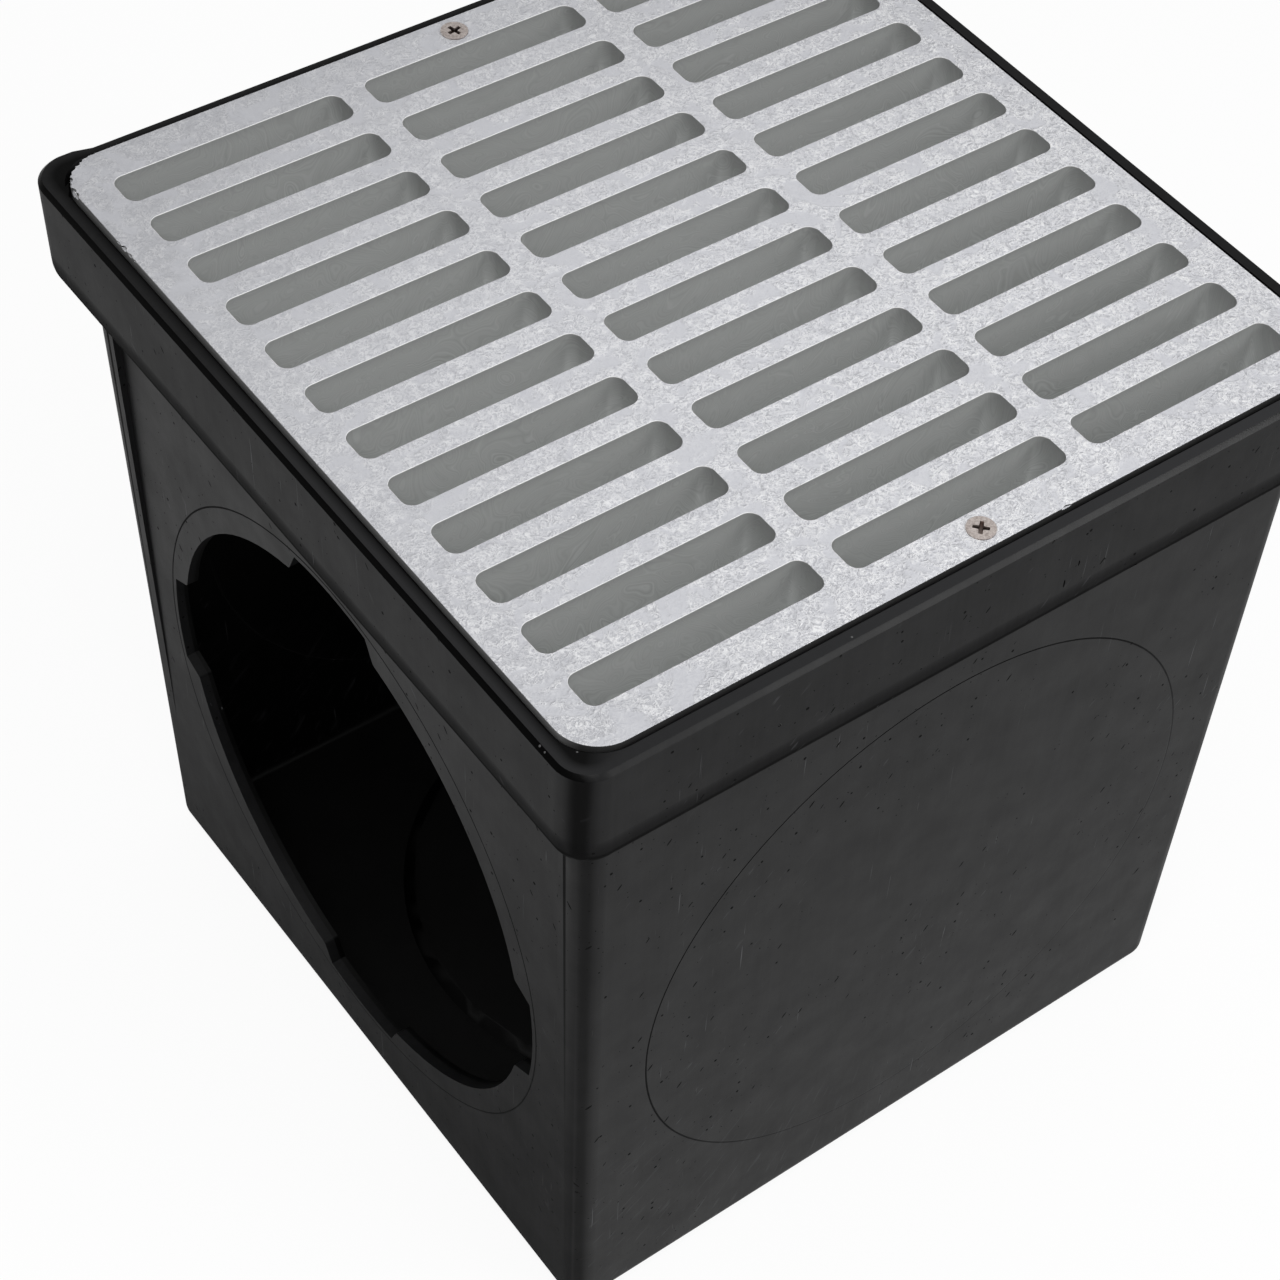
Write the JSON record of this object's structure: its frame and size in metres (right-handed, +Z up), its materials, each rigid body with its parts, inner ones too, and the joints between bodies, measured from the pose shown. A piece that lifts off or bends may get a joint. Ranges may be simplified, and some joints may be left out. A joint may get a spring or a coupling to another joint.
{
  "type": "gully basin with grate",
  "caption": "Square plastic drainage gully box with a rim, round side outlets and a screwed-down slotted grate.",
  "frame": {"origin": "middle of the basin's underside, which stands on the ground at z = 0", "axes": "+Z up, out through the grate; -X and +X out through the two open outlet sides; Y between the blank sides"},
  "size_m": [0.316, 0.316, 0.3374],
  "materials": {
    "basin": "black foamed polyolefin, dull with fine pits and scratches",
    "grate": "light grey polyolefin with flow swirls",
    "grate_screws": "nickel-coloured steel"
  },
  "bodies": {
    "root": {"basin": "basin", "grate": "grate", "grate_screws": "grate_screws"}
  },
  "joints": []
}
